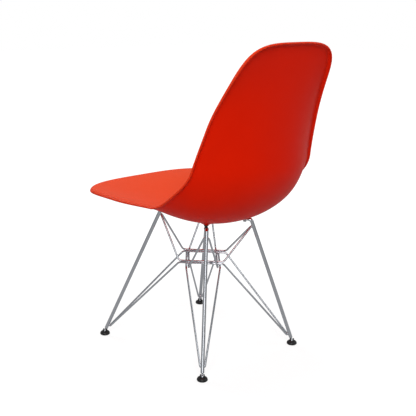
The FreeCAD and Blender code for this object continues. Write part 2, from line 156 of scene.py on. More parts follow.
# Narrow boards show only as the highlights in the plating and the gloss.
for board_row in (
    ("board_by_camera", (1.6, 1.6, 1.2), 0.6, 2.4, 15.0),
    ("board_right", (-1.51, 1.51, 1.5), 0.6, 1.6, 6.0),
    ("board_behind", (0.0, -2.13, 1.94), 1.5, 0.6, 8.0),
):
    soft_lamp(*board_row).visible_diffuse = False

# The floor glows a little for the camera, in full past the shadows and less among the feet.
floor_reach = 15.0
floor_colour = (0.65, 0.65, 0.65, 1.0)
floor_glow = 1.15
floor_in_gloss = 0.40
glow_by_feet = 0.73
feet_radius = 0.25
clear_radius = 0.8

floor_mesh = bpy.data.meshes.new("floor")
floor_corners = [(x * floor_reach, y * floor_reach, 0) for x, y in ((-1, -1), (1, -1), (1, 1), (-1, 1))]
floor_mesh.from_pydata(floor_corners, [], [(0, 1, 2, 3)])
floor = placed("floor", floor_mesh)
floor_paint = bpy.data.materials.new("floor_white")
floor_paint.use_nodes = True
tree = floor_paint.node_tree
tree.nodes.clear()
rays = put(tree, "ShaderNodeLightPath").outputs
matt = put(tree, "ShaderNodeBsdfDiffuse", {"Color": floor_colour})
glow = put(tree, "ShaderNodeEmission", {"Color": white, "Strength": floor_glow})
mirrored = put(tree, "ShaderNodeEmission", {"Color": white, "Strength": floor_in_gloss})
floor_place = put(tree, "ShaderNodeTexCoord").outputs["Object"]
radius = put(tree, "ShaderNodeVectorMath", {0: floor_place}, operation="LENGTH").outputs["Value"]
glow_share = put(
    tree,
    "ShaderNodeMapRange",
    {"Value": radius, "From Min": feet_radius, "From Max": clear_radius, "To Min": glow_by_feet},
    interpolation_type="SMOOTHSTEP",
)
glow_seen = reckon(tree, "MULTIPLY", rays["Is Camera Ray"], glow_share.outputs[0])
seen = put(tree, "ShaderNodeMixShader", {0: glow_seen, 1: matt.outputs[0], 2: glow.outputs[0]})
mix = put(tree, "ShaderNodeMixShader", {0: bounced(tree, rays), 1: seen.outputs[0], 2: mirrored.outputs[0]})
put(tree, "ShaderNodeOutputMaterial", {"Surface": mix.outputs[0]})
floor_mesh.materials.append(floor_paint)

# Seat and back shell.
# One injection moulding of plastic, orange-red right through. Its seat is dished, its back is hollow
# from side to side, and its rim is rolled over into a stiff lip. Four cones grow out of the underside
# and take the threaded inserts.
shell_line_start = (-0.2874, 0.4289)
shell_seat_fall = 11.3
shell_nose_drop = 6.8
shell_nose_length = 0.1055
shell_seat_length = 0.333
shell_bend_radius = 0.1553
shell_back_angle = 89.3
shell_back_length = 0.3031
shell_back_flare = 18.4
shell_half_widths = [0.2198, 0.2315, 0.2249, 0.1874, 0.1513]
shell_rises = [0.0012, 0.0335, 0.0905, 0.0447, 0.0007]
shell_thighs_share = 0.55
shell_shoulders_past_middle = 0.02
shell_dish_power = 2.2
shell_corner_fullness = 0.0045
shell_corner_place = 0.46
shell_corner_spread = 0.08
shell_front_round = (0.1333, 3.3)
shell_top_round = (0.1089, 3.6)
shell_wall = 0.0046
lip_radius = 0.007
lip_turn = math.radians(78.0)

# Half widths and rises are given at the front edge, thighs, bend, shoulders and top. Each round is how
# far from the shell's end its corners start, and the power of their curve.
shell_bend_length = shell_bend_radius * math.radians(shell_seat_fall + shell_back_angle)
shell_length = shell_seat_length + shell_bend_length + shell_back_length
shell_bend_middle = shell_seat_length + shell_bend_length / 2
shell_places = [
    0.0,
    shell_thighs_share * shell_seat_length,
    shell_bend_middle,
    (shell_bend_middle + shell_length) / 2 + shell_shoulders_past_middle,
    shell_length,
]


def flowing(places, values, at):
    """A smooth curve through the values that never overshoots them."""
    places = np.asarray(places)
    values = np.asarray(values)
    slopes = np.diff(values) / np.diff(places)
    tangents = np.zeros(len(places))
    for i in range(1, len(places) - 1):
        if slopes[i - 1] * slopes[i] > 0:
            tangents[i] = 2 * slopes[i - 1] * slopes[i] / (slopes[i - 1] + slopes[i])
    at = np.clip(at, places[0], places[-1])
    i = np.clip(np.searchsorted(places, at, side="left") - 1, 0, len(places) - 2)
    span = places[i + 1] - places[i]
    t = (at - places[i]) / span
    smooth = values[i] + (values[i + 1] - values[i]) * t * t * (3 - 2 * t)
    return smooth + span * t * (1 - t) * (tangents[i] * (1 - t) - tangents[i + 1] * t)


def shell_heading(s):
    """The slope of the shell's middle line, s along it from the front edge."""
    nose = shell_nose_drop * np.maximum(0.0, 1 - s / shell_nose_length)
    in_bend = np.clip(s - shell_seat_length, 0.0, shell_bend_length)
    in_back = np.maximum(0.0, s - shell_seat_length - shell_bend_length)
    turned = np.degrees(in_bend / shell_bend_radius)
    return np.radians(nose - shell_seat_fall + turned - shell_back_flare * in_back / shell_back_length)


line_step = 0.0005
line_overrun = 0.002
line_places = np.arange(0.0, shell_length + line_overrun, line_step)
line_slopes = shell_heading(line_places + line_step / 2)[:-1]
line_y = shell_line_start[0] + np.concatenate([[0], np.cumsum(np.cos(line_slopes) * line_step)])
line_z = shell_line_start[1] + np.concatenate([[0], np.cumsum(np.sin(line_slopes) * line_step)])


def shell_surface(s, x):
    """Points of the sitting side: s along the middle line, x to the sitter's left."""
    s = np.asarray(s, float)
    x = np.asarray(x, float)
    held = np.clip(s, 0.0, shell_length)
    slope = shell_heading(s)
    over = s - held
    half = flowing(shell_places, shell_half_widths, s)
    share = np.abs(x) / half
    rise = flowing(shell_places, shell_rises, s) * share ** shell_dish_power
    # The rear lower corners are a little fuller. Across the shell the fullness is whole at 0.7 of the
    # half width, and fades to nothing at the middle and at the edge.
    near_corner = np.exp(-(((s - shell_corner_place) / shell_corner_spread) ** 2))
    rise = rise - shell_corner_fullness * near_corner * 16 * share**4 * (1 - share**2) ** 2
    y = np.interp(held, line_places, line_y) + over * np.cos(slope) - rise * np.sin(slope)
    z = np.interp(held, line_places, line_z) + over * np.sin(slope) + rise * np.cos(slope)
    return np.stack([x + 0 * y, y, z], axis=-1)


def unit(vectors):
    """The vectors at length 1."""
    return vectors / np.linalg.norm(vectors, axis=-1, keepdims=True)


def shell_facing(s, x):
    """The shell's normals, towards the sitter."""
    near = 0.001
    along = shell_surface(s + near, x) - shell_surface(s - near, x)
    across = shell_surface(s, x + near) - shell_surface(s, x - near)
    return unit(np.cross(across, along))


def shell_half_width(s):
    """Half the shell's width, with the rounding of its front and top corners."""
    front = np.maximum(0.0, 1 - s / shell_front_round[0])
    top = np.maximum(0.0, 1 - (shell_length - s) / shell_top_round[0])
    narrowing = (1 - front ** shell_front_round[1]) ** (1 / shell_front_round[1])
    narrowing = narrowing * (1 - top ** shell_top_round[1]) ** (1 / shell_top_round[1])
    return flowing(shell_places, shell_half_widths, s) * narrowing


def evenly_round(first, second, count):
    """Evenly spaced points round the closed line through pairs of numbers."""
    steps = np.hypot(np.roll(first, -1) - first, np.roll(second, -1) - second)
    travelled = np.concatenate([[0], np.cumsum(steps)])
    wanted = np.linspace(0, travelled[-1], count, endpoint=False)
    return [np.interp(wanted, travelled, np.append(line, line[0])) for line in (first, second)]


def shell_outline(inset, count):
    """Evenly spaced (s, x) points round the outline, drawn in by the inset."""
    samples_per_point = 15
    turn = np.linspace(0, 2 * math.pi, samples_per_point * count, endpoint=False)
    s = shell_length * (1 - np.cos(turn)) / 2
    x = np.where(turn <= math.pi, 1, -1) * shell_half_width(np.clip(s, 0, shell_length))
    ds = np.roll(s, -1) - np.roll(s, 1)
    dx = np.roll(x, -1) - np.roll(x, 1)
    length = np.hypot(ds, dx)
    return evenly_round(s + inset * dx / length, x - inset * ds / length, count)


# The shell's rings run from the seat's middle out to the rim, over the lip and its rounded edge, and
# back under the lip to the underside's middle.
shell_spokes = 288
shell_rings = 96
first_ring_share = 0.006
lip_rings = 14
edge_rings = 8
lip_outer = lip_radius + shell_wall
rim_s, rim_x = shell_outline(lip_outer * math.sin(lip_turn), shell_spokes)
middle_s = 0.5 * (shell_seat_length + shell_bend_middle)
share = np.sin(math.pi / 2 * np.linspace(first_ring_share, 1, shell_rings))[:, None]
ring_s = middle_s + share * (rim_s - middle_s)
ring_x = share * rim_x
sitting_side = shell_surface(ring_s, ring_x)
facing = shell_facing(ring_s, ring_x)
under_side = sitting_side - facing * shell_wall
rim = sitting_side[-1]
rim_facing = facing[-1]
rim_course = np.roll(rim, -1, axis=0) - np.roll(rim, 1, axis=0)
outward = unit(np.cross(rim_facing, rim_course))
if (outward * (rim - sitting_side[0])).sum() < 0:
    outward = -outward
lip_centre = rim - rim_facing * lip_outer


def lip_ring(radius, turn):
    """The ring round the lip's middle line, by its radius and turn from the sitting side."""
    return lip_centre + (outward * math.sin(turn) + rim_facing * math.cos(turn)) * radius


lip_turns = [lip_turn * i / lip_rings for i in range(1, lip_rings + 1)]
ray = outward * math.sin(lip_turn) + rim_facing * math.cos(lip_turn)
onward = outward * math.cos(lip_turn) - rim_facing * math.sin(lip_turn)
edge_middle = lip_centre + ray * (lip_radius + shell_wall / 2)
rings = list(sitting_side)
rings += [lip_ring(lip_outer, turn) for turn in lip_turns]
for i in range(1, edge_rings):
    turn = math.pi * i / edge_rings
    rings.append(edge_middle + (ray * math.cos(turn) + onward * math.sin(turn)) * shell_wall / 2)
rings += [lip_ring(lip_radius, turn) for turn in reversed(lip_turns)]
rings += list(under_side[::-1])
rings = [np.clip(ring, cad_box[0], cad_box[1]) for ring in rings]


def closed_rings(name, rings):
    """A closed mesh through rings of equally many points, with a point at each end."""
    count = len(rings[0])
    points = [tuple(p) for ring in rings for p in ring]
    points.append(tuple(np.mean(rings[0], axis=0)))
    points.append(tuple(np.mean(rings[-1], axis=0)))
    faces = []
    for i in range(len(rings) - 1):
        for k in range(count):
            a = i * count + k
            b = i * count + (k + 1) % count
            faces.append((a, b, b + count, a + count))
    last = (len(rings) - 1) * count
    for k in range(count):
        faces.append(((k + 1) % count, k, len(points) - 2))
        faces.append((last + k, last + (k + 1) % count, len(points) - 1))
    mesh = bpy.data.meshes.new(name)
    mesh.from_pydata(points, [], faces)
    part = bmesh.new()
    part.from_mesh(mesh)
    bmesh.ops.recalc_face_normals(part, faces=part.faces)
    part.to_mesh(mesh)
    part.free()
    mesh.shade_smooth()
    return mesh


def one_mesh(name, meshes):
    """Several meshes as one, for a single material."""
    part = bmesh.new()
    for mesh in meshes:
        part.from_mesh(mesh)
    for face in part.faces:
        face.material_index = 0
    whole = bpy.data.meshes.new(name)
    part.to_mesh(whole)
    part.free()
    return whole


def below_seat(s, x):
    """Points of the shell's underside."""
    return shell_surface(s, x) - shell_facing(s, x) * shell_wall


def shell_underside(x, y):
    """Heights of the shell's underside over places under the seat, found by halving."""
    sideways_rounds = 4
    halvings = 30
    across = x
    for _ in range(sideways_rounds):
        low = np.zeros_like(x)
        high = np.full_like(x, shell_bend_middle)
        for _ in range(halvings):
            s = (low + high) / 2
            before = below_seat(s, across)[..., 1] < y
            low = np.where(before, s, low)
            high = np.where(before, high, s)
        across = x + shell_facing(low, across)[..., 0] * shell_wall
    return below_seat(low, across)[..., 2]


# Where each leg's ball, knee, screw and upper weld lie.
waist_middle = Vector((0.0, -0.0121, 0.0))
tab_reach = 0.017
ball_height = 0.0105
corners = {}
for depth, foot, knee, weld_height in (
    ("front", (0.183, -0.2192), (0.0858, -0.0848, 0.376), 0.364),
    ("rear", (0.1678, 0.1708), (0.0803, 0.0875, 0.353), 0.3355),
):
    for side, sign in (("left", 1), ("right", -1)):
        knee_point = Vector((sign * knee[0], knee[1], knee[2]))
        inward = (waist_middle - Vector((knee_point.x, knee_point.y, 0))).normalized()
        corners[depth + "_" + side] = {
            "ball": Vector((sign * foot[0], foot[1], ball_height)),
            "knee": knee_point,
            "inward": inward,
            "screw": knee_point + inward * tab_reach,
            "weld_height": weld_height,
        }

# Each cone is a skirt of rings that ends in a flat face with the insert's bore, and flows into the
# shell round its foot.
tab_thickness = 0.004
damper_height = 0.008
boss_spokes = 96
boss_rings = 48
boss_bore = 0.00425
boss_bore_depth = 0.006
boss_burial = 0.002
boss_face_radius = 0.0065
boss_flank = math.radians(35.0)
boss_edge = 0.0012
boss_root = 0.005
boss_reach = 0.026
boss_proud = 0.00003
boss_sharp = math.radians(50.0)
shell_meshes = [closed_rings("shell", rings)]
turn = np.linspace(0, 2 * math.pi, boss_spokes, endpoint=False)
radius = np.linspace(boss_bore, boss_reach, boss_rings)[:, None]
past = radius - boss_face_radius
for name, corner in corners.items():
    face_height = corner["screw"].z + tab_thickness / 2 + damper_height
    x = corner["screw"].x + radius * np.cos(turn)
    y = corner["screw"].y + radius * np.sin(turn)
    under = shell_underside(x, y) - boss_proud
    cone = face_height + (past + np.hypot(past, boss_edge)) / 2 * math.tan(boss_flank) + 0 * under
    near = np.maximum(boss_root - np.abs(cone - under), 0) / boss_root
    skirt = np.stack([x, y, np.minimum(cone, under) - near * near * boss_root / 4], axis=-1)
    bore_end = skirt[0] + np.array([0, 0, boss_bore_depth])
    buried = np.stack([x[-1], y[-1], under[-1] + boss_burial], axis=-1)
    boss = closed_rings("boss_" + name, [bore_end, *skirt, buried])
    boss.set_sharp_from_angle(angle=boss_sharp)
    shell_meshes.append(boss)
shell = placed("shell", one_mesh("shell", shell_meshes))

# The attribute is the share of the seat's painted light: 1 on the sitting side, it falls over the lip and is
# 0 below its edge.
# How much of the painted light is lost across the lip.
painted_light_lip_fade = 0.4
sitting = np.zeros(len(shell.data.vertices))
sitting[:shell_rings * shell_spokes] = 1.0
sitting[len(rings) * shell_spokes] = 1.0
for i in range(lip_rings + edge_rings):
    start = (shell_rings + i) * shell_spokes
    over_lip = min(1.0, i / lip_rings)
    over_edge = max(0.0, i - lip_rings) / edge_rings
    sitting[start:start + shell_spokes] = (1 - painted_light_lip_fade * over_lip) * (1 - over_edge)
shell.data.attributes.new("sitting", "FLOAT", "POINT").data.foreach_set("value", sitting)


def two_tones(tree, share, first, second):
    """A colour that goes from the first to the second as the share goes from 0 to 1."""
    return put(tree, "ShaderNodeMix", {0: share, 6: first, 7: second}, data_type="RGBA").outputs[2]


def patchy_finish(name, tones, patches, roughness, metallic=0.0, sheen=None, relief=None, grain=None):
    """A material of two tones in soft patches. Patches, sheen and grain are noises, each a scale and a
    detail. Sheen spreads the roughness between its two ends, and grain gives the relief, a strength and
    a depth. Where either has no noise of its own, it follows the patches."""
    paint = bpy.data.materials.new(name)
    paint.use_nodes = True
    tree = paint.node_tree
    shader = tree.nodes["Principled BSDF"]
    place = put(tree, "ShaderNodeTexCoord").outputs["Object"]

    def noise(scale, detail):
        look = {"Vector": place, "Scale": scale, "Detail": detail}
        return put(tree, "ShaderNodeTexNoise", look).outputs["Fac"]

    patched = noise(*patches)
    shader.inputs["Metallic"].default_value = metallic
    tree.links.new(two_tones(tree, patched, *tones), shader.inputs["Base Color"])
    uneven = noise(*sheen) if sheen else patched
    spread = {"Value": uneven, "To Min": roughness[0], "To Max": roughness[1]}
    tree.links.new(put(tree, "ShaderNodeMapRange", spread).outputs["Result"], shader.inputs["Roughness"])
    if relief:
        height = noise(*grain) if grain else patched
        bumps = {"Height": height, "Strength": relief[0], "Distance": relief[1]}
        tree.links.new(put(tree, "ShaderNodeBump", bumps).outputs["Normal"], shader.inputs["Normal"])
    return paint


# The colour drifts a little where the plastic flowed, and the sitting side, where the lamps fall, is painted
# paler and yellower as painted light. The skin has a fine moulded grain, and its sheen is slightly uneven.
shell_plastic = patchy_finish(
    "orange_red_plastic",
    tones=((0.60, 0.0080, 0.0, 1.0), (0.66, 0.0100, 0.0, 1.0)),
    patches=(7.0, 3.0),
    roughness=(0.36, 0.46),
    sheen=(60.0, 4.0),
    relief=(0.12, 0.0002),
    grain=(1400.0, 2.0),
)
# Painted light: the paler, yellower colour of the lit sitting side.
painted_light_colour = (0.76, 0.068, 0.020, 1.0)
tree = shell_plastic.node_tree
shader = tree.nodes["Principled BSDF"]
flowed = shader.inputs["Base Color"].links[0].from_socket
# The sitting attribute mixes the painted light in over the sitting side and the lip.
painted_light_share = put(tree, "ShaderNodeAttribute", attribute_name="sitting").outputs["Fac"]
tree.links.new(two_tones(tree, painted_light_share, flowed, painted_light_colour), shader.inputs["Base Color"])
shader.inputs["Specular IOR Level"].default_value = 0.07
shader.inputs["Specular Tint"].default_value = (1.0, 0.6, 0.4, 1.0)
shell.data.materials.append(shell_plastic)
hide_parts("seat_shell")
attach(shell, "chair")

# Threaded inserts.
# A turned brass bush is moulded into each cone, with its lower end flush with the cone's face.
insert_brass = patchy_finish(
    "turned_brass",
    tones=((0.55, 0.38, 0.14, 1.0), (0.72, 0.52, 0.22, 1.0)),
    patches=(900.0, 3.0),
    roughness=(0.22, 0.4),
    metallic=1.0,
)
for name in corners:
    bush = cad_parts["insert_" + name]
    bush.data.materials.clear()
    bush.data.materials.append(insert_brass)

# Legs.
# Four thick steel rods, chromium plated. Each is turned down to a neck and a ball at the floor, bent
# inwards at the knee, and pressed flat there into a round-ended tab for the screw.
leg_radius = 0.0048
leg_bend = 0.006
leg_sides = 40
ball_radius = 0.0052
neck_radius = 0.0027
neck_length = 0.009
tab_width = 0.013
tab_start = 0.0045
tab_full = 0.0105


def geometry_tree(name, inputs):
    """A new geometry tree and its input sockets. Inputs are names with the kinds of their sockets."""
    tree = bpy.data.node_groups.new(name, "GeometryNodeTree")
    tree.interface.new_socket("Geometry", in_out="OUTPUT", socket_type="NodeSocketGeometry")
    for title, kind in inputs.items():
        tree.interface.new_socket(title, in_out="INPUT", socket_type="NodeSocket" + kind)
    return tree, put(tree, "NodeGroupInput").outputs


def finish_tree(tree, geometry, finish):
    """Ends a geometry tree with a smooth plain mesh of one material."""
    smooth = put(tree, "GeometryNodeSetShadeSmooth", {"Geometry": geometry}).outputs["Geometry"]
    real = put(tree, "GeometryNodeRealizeInstances", {"Geometry": smooth}).outputs["Geometry"]
    coated = put(tree, "GeometryNodeSetMaterial", {"Geometry": real, "Material": finish}).outputs["Geometry"]
    put(tree, "NodeGroupOutput", {"Geometry": coated})
    return tree


def steer(tree, operation, first, second):
    """The answer of a Vector Math node."""
    other = "Scale" if operation == "SCALE" else 1
    node = put(tree, "ShaderNodeVectorMath", {0: first, other: second}, operation=operation)
    return node.outputs["Value" if operation == "DOT_PRODUCT" else "Vector"]


def mark(tree, name, kind="FLOAT"):
    """A named attribute of the points."""
    return put(tree, "GeometryNodeInputNamedAttribute", {"Name": name}, data_type=kind).outputs["Attribute"]


def bent_rod_tree():
    """A rod along the object's own line of points. The point attribute bend is each corner's radius.
    Where the attribute flatness rises to 1 the rod is pressed flat, and share narrows it there."""
    tree, given = geometry_tree("bent_rod", {
        "Line": "Geometry",
        "Rod radius": "Float",
        "Sides": "Int",
        "Steps in a bend": "Int",
        "Tab width": "Float",
        "Tab thickness": "Float",
        "Across the tab": "Vector",
        "Finish": "Material",
    })
    across_tab = given["Across the tab"]
    line = put(tree, "GeometryNodeMeshToCurve", {"Mesh": given["Line"]}).outputs["Curve"]
    rounding = {"Count": given["Steps in a bend"], "Radius": mark(tree, "bend"), "Limit Radius": True}
    kept = put(tree, "GeometryNodeFilletCurve", {"Curve": line, **rounding}, mode="POLY").outputs["Curve"]
    # Each ring of the rod remembers its middle and its course.
    for name, kind in (("centre", "GeometryNodeInputPosition"), ("course", "GeometryNodeInputTangent")):
        kept = put(
            tree,
            "GeometryNodeStoreNamedAttribute",
            {"Geometry": kept, "Name": name, "Value": put(tree, kind).outputs[0]},
            data_type="FLOAT_VECTOR",
            domain="POINT",
        ).outputs["Geometry"]
    circle = {"Resolution": given["Sides"], "Radius": given["Rod radius"]}
    section = put(tree, "GeometryNodeCurvePrimitiveCircle", circle).outputs["Curve"]
    swept = {"Curve": kept, "Profile Curve": section, "Fill Caps": True}
    rod = put(tree, "GeometryNodeCurveToMesh", swept).outputs["Mesh"]
    # A point's place in its ring is pressed by parts, across the tab and upwards.
    centre = mark(tree, "centre", "FLOAT_VECTOR")
    offset = steer(tree, "SUBTRACT", put(tree, "GeometryNodeInputPosition").outputs[0], centre)
    square = steer(tree, "CROSS_PRODUCT", mark(tree, "course", "FLOAT_VECTOR"), across_tab)
    lift = put(tree, "ShaderNodeVectorMath", {0: square}, operation="NORMALIZE").outputs["Vector"]
    across = steer(tree, "DOT_PRODUCT", offset, across_tab)
    upward = steer(tree, "DOT_PRODUCT", offset, lift)
    # The squeeze leaves the section taller than the tab, so that the clamp cuts it to two flat faces.
    widening = reckon(tree, "MULTIPLY", reckon(tree, "DIVIDE", given["Tab width"], given["Rod radius"]), 0.5)
    thick_share = reckon(tree, "DIVIDE", given["Tab thickness"], given["Rod radius"])
    squeeze = reckon(tree, "MULTIPLY", thick_share, 0.85)
    half_thick = reckon(tree, "MULTIPLY", given["Tab thickness"], 0.5)
    wide = reckon(tree, "MULTIPLY", reckon(tree, "MULTIPLY", across, widening), mark(tree, "share"))
    high = reckon(tree, "MULTIPLY", upward, squeeze)
    limits = {"Value": high, "Min": reckon(tree, "MULTIPLY", half_thick, -1.0), "Max": half_thick}
    pressed = put(tree, "ShaderNodeClamp", limits).outputs[0]
    flat = steer(tree, "ADD", steer(tree, "SCALE", across_tab, wide), steer(tree, "SCALE", lift, pressed))
    flatness = mark(tree, "flatness")
    shaped = put(tree, "ShaderNodeMix", {0: flatness, 4: offset, 5: flat}, data_type="VECTOR").outputs[1]
    moved = {"Geometry": rod, "Position": steer(tree, "ADD", centre, shaped)}
    return finish_tree(tree, put(tree, "GeometryNodeSetPosition", moved).outputs["Geometry"], given["Finish"])


def grown(name, mesh, tree, values):
    """The plain mesh that a geometry tree makes of a mesh, with the tree's inputs given by name."""
    source = placed(name, mesh)
    modifier = source.modifiers.new("shape", "NODES")
    modifier.node_group = tree
    for item in tree.interface.items_tree:
        if item.item_type == "SOCKET" and item.in_out == "INPUT" and item.name in values:
            modifier[item.identifier] = values[item.name]
    graph = bpy.context.evaluated_depsgraph_get()
    result = bpy.data.meshes.new_from_object(source.evaluated_get(graph))
    result.name = name
    for used_up in ("bend", "flatness", "share", "centre", "course", "turn", "size"):
        if used_up in result.attributes:
            result.attributes.remove(result.attributes[used_up])
    bpy.data.objects.remove(source)
    return result


def line_mesh(name, points, closed=False, **numbers):
    """A line of points with numbers at each point."""
    edges = [(i, i + 1) for i in range(len(points) - 1)]
    if closed:
        edges.append((len(points) - 1, 0))
    mesh = bpy.data.meshes.new(name)
    mesh.from_pydata([tuple(p) for p in points], edges, [])
    for key, values in numbers.items():
        mesh.attributes.new(key, "FLOAT", "POINT").data.foreach_set("value", values)
    return mesh


def turned(name, profile, centre, axis, sides):
    """A turned solid. Each pair of the profile is a distance along the axis and a radius."""
    axis = axis.normalized()
    first = axis.orthogonal().normalized()
    second = axis.cross(first)
    turn = np.linspace(0, 2 * math.pi, sides, endpoint=False)[:, None]
    round_once = np.cos(turn) * np.array(first) + np.sin(turn) * np.array(second)
    rings = [np.array(centre + axis * along) + round_once * radius for along, radius in profile]
    return closed_rings(name, rings)


# The plating is bright, with a faint haze that changes along the rods and a trace of the drawn steel.
chrome = patchy_finish(
    "bright_chrome",
    tones=((0.58, 0.60, 0.64, 1.0), (0.71, 0.73, 0.77, 1.0)),
    patches=(30.0, 5.0),
    roughness=(0.07, 0.15),
    metallic=1.0,
    relief=(0.06, 0.0003),
    grain=(220.0, 2.0),
)

# The ball runs up into the neck, then a rounded shoulder, whose top is buried in the rod.
bent_rod = bent_rod_tree()
ball_first_turn = 0.05
ball_last_turn = 2.58
shoulder_radius = leg_radius - 0.00002
ball_turns = np.linspace(ball_first_turn, ball_last_turn, 20)
ball_profile = [(-ball_radius * math.cos(turn), ball_radius * math.sin(turn)) for turn in ball_turns]
ball_profile += [
    (0.0056, neck_radius),
    (neck_length - 0.0005, neck_radius),
    (neck_length - 0.0001, 0.0031),
    (neck_length, 0.0042),
    (neck_length + 0.0006, shoulder_radius),
    (neck_length + 0.004, shoulder_radius),
]
rod_start = neck_length + 0.0007
tab_steps = 9
tab_end_steps = 18
tab_end_turn = math.radians(87)
for name, corner in corners.items():
    up = (corner["knee"] - corner["ball"]).normalized()
    inward = corner["inward"]
    points = [corner["ball"] + up * rod_start, corner["knee"]]
    flatness = [0.0, 0.0]
    shares = [1.0, 1.0]
    for t in np.linspace(0, 1, tab_steps):
        points.append(corner["knee"] + inward * (tab_start + (tab_full - tab_start) * t))
        flatness.append(t * t * (3 - 2 * t))
        shares.append(1.0)
    for turn in np.linspace(0, tab_end_turn, tab_end_steps):
        points.append(corner["knee"] + inward * (tab_reach + tab_width / 2 * math.sin(turn)))
        flatness.append(1.0)
        shares.append(math.cos(turn))
    bends = [0.0, leg_bend] + [0.0] * (tab_steps + tab_end_steps)
    rod = grown(
        "leg_rod",
        line_mesh("leg_line", points, bend=bends, flatness=flatness, share=shares),
        bent_rod,
        {
            "Rod radius": leg_radius,
            "Sides": leg_sides,
            "Steps in a bend": 14,
            "Tab width": tab_width,
            "Tab thickness": tab_thickness,
            "Across the tab": (-inward.y, inward.x, 0.0),
            "Finish": chrome,
        },
    )
    ball_end = turned("ball_end", ball_profile, corner["ball"], up, leg_sides)
    leg = placed("rod_leg_" + name, one_mesh("rod_leg_" + name, [rod, ball_end]))
    leg.data.materials.append(chrome)
    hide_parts("leg_" + name)
    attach(leg, "chair")

# Brace wires.
# Four long closed loops of thin plated wire. Each crosses the waist between two opposite legs and is
# welded to the inner side of both at its rounded tips. One pair lies stacked over the other pair.
wire_radius = 0.0026
wire_thickness = 2 * wire_radius
wire_bend = 0.012
upper_tip_radius = 0.008
lower_tip_radius = 0.0065
waist_height = 0.2459
lower_weld_height = 0.0305


def on_leg(corner, height):
    """The middle of the leg at a height."""
    part = (height - corner["ball"].z) / (corner["knee"].z - corner["ball"].z)
    return corner["ball"] + (corner["knee"] - corner["ball"]) * part


def loop_corner(corner, height, left, right, radius):
    """The corner point whose rounding, of the given radius, just touches the leg's inner side. It is
    found by moving the point a few dozen times by what its rounding still misses."""
    line = (corner["knee"] - corner["ball"]).normalized()
    inward = waist_middle - Vector((corner["ball"].x, corner["ball"].y, 0))
    inward = (inward - line * inward.dot(line)).normalized()
    touch = on_leg(corner, height) + inward * leg_radius
    wanted = touch + inward * wire_radius
    point = wanted
    for _ in range(40):
        to_left = (left - point).normalized()
        to_right = (right - point).normalized()
        half = to_left.angle(to_right) / 2
        middle = (to_left + to_right).normalized()
        point = point + wanted - (point + middle * (radius / math.sin(half) - radius))
    return point, touch, line, inward


def loop_frame(start_name, end_name, shift):
    """A loop's course over the floor, the direction across it, and its middle."""
    course = corners[end_name]["ball"] - corners[start_name]["ball"]
    course = Vector((course.x, course.y, 0)).normalized()
    return course, Vector((-course.y, course.x, 0)), waist_middle + course * shift


# Each row is a loop's two legs, half its width, the shift of its middle along it, half its level run,
# its height, and the sides of the CAD halves that it stands for.
leg_welds = []
a_legs = ("front_left", "rear_right")
b_legs = ("rear_left", "front_right")
loops = {
    "upper_a": (*a_legs, 0.0498, 0.0, 0.0593, waist_height, ("rear", "front")),
    "lower_a": (*a_legs, 0.0498, 0.0, 0.0593, waist_height - wire_thickness, ("rear", "front")),
    "upper_b": (*b_legs, 0.038, 0.005, 0.078, waist_height - 2 * wire_thickness, ("right", "left")),
    "lower_b": (*b_legs, 0.0445, 0.005, 0.078, waist_height - 2 * wire_thickness, ("right", "left")),
}
for name, (start_name, end_name, spread, shift, half_run, level, sides) in loops.items():
    tier, pair = name.split("_")
    start = corners[start_name]
    end = corners[end_name]
    course, sideways, middle = loop_frame(start_name, end_name, shift)
    middle = middle + Vector((0, 0, level))
    near = [middle - course * half_run + sideways * (spread * side) for side in (-1, 1)]
    far = [middle + course * half_run + sideways * (spread * side) for side in (-1, 1)]
    if tier == "upper":
        heights = (start["weld_height"], end["weld_height"])
        tip_radius = upper_tip_radius
    else:
        heights = (lower_weld_height, lower_weld_height)
        tip_radius = lower_tip_radius
    first, *first_weld = loop_corner(start, heights[0], *near, tip_radius)
    last, *last_weld = loop_corner(end, heights[1], *far, tip_radius)
    leg_welds += [first_weld, last_weld]
    points = [first, near[0], far[0], last, far[1], near[1]]
    bends = [tip_radius, wire_bend, wire_bend, tip_radius, wire_bend, wire_bend]
    mesh = grown(
        "wire_loop_" + name,
        line_mesh("loop_line", points, closed=True, bend=bends),
        bent_rod,
        {"Rod radius": wire_radius, "Sides": 24, "Steps in a bend": 20, "Finish": chrome},
    )
    loop = placed("wire_loop_" + name, mesh)
    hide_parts(*[tier + "_brace_" + pair + "_" + side for side in sides])
    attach(loop, "chair")

# Weld beads.
# The loops are resistance welded to the legs and to each other, and plated afterwards. Each weld
# leaves a small smooth bead in the crease where the round rods touch.
leg_bead = (0.0036, 0.0042, 0.0024)
crossing_bead = (0.0028, 0.0028, 0.0016)
stack_bead = (0.0052, 0.0019, 0.0013)


